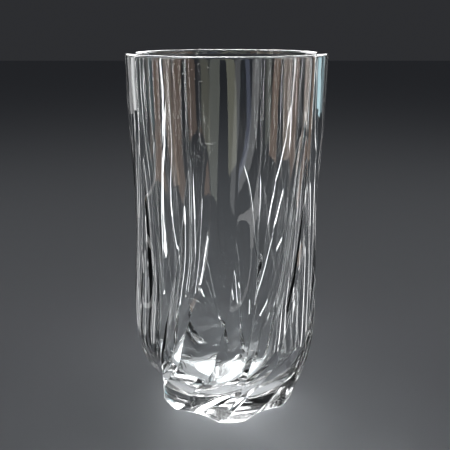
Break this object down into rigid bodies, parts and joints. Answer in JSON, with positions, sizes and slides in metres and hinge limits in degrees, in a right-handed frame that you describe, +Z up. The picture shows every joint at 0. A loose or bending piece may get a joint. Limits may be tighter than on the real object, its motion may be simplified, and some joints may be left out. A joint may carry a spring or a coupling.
{
  "type": "mixing glass",
  "caption": "Tall clear pressed-glass tumbler for stirring drinks, with a thick base, a smooth rim and flutes that swirl up the wall.",
  "frame": {"origin": "centre of the face the glass stands on", "axes": "+Z up along the glass's axis, -Y towards the side the picture shows"},
  "size_m": [0.0798, 0.08, 0.15],
  "materials": {
    "clear_glass": "clear fire-polished pressed crystal, faintly cool, with fine wear where it stands"
  },
  "bodies": {
    "root": {"glass_body": "clear_glass"}
  },
  "joints": []
}
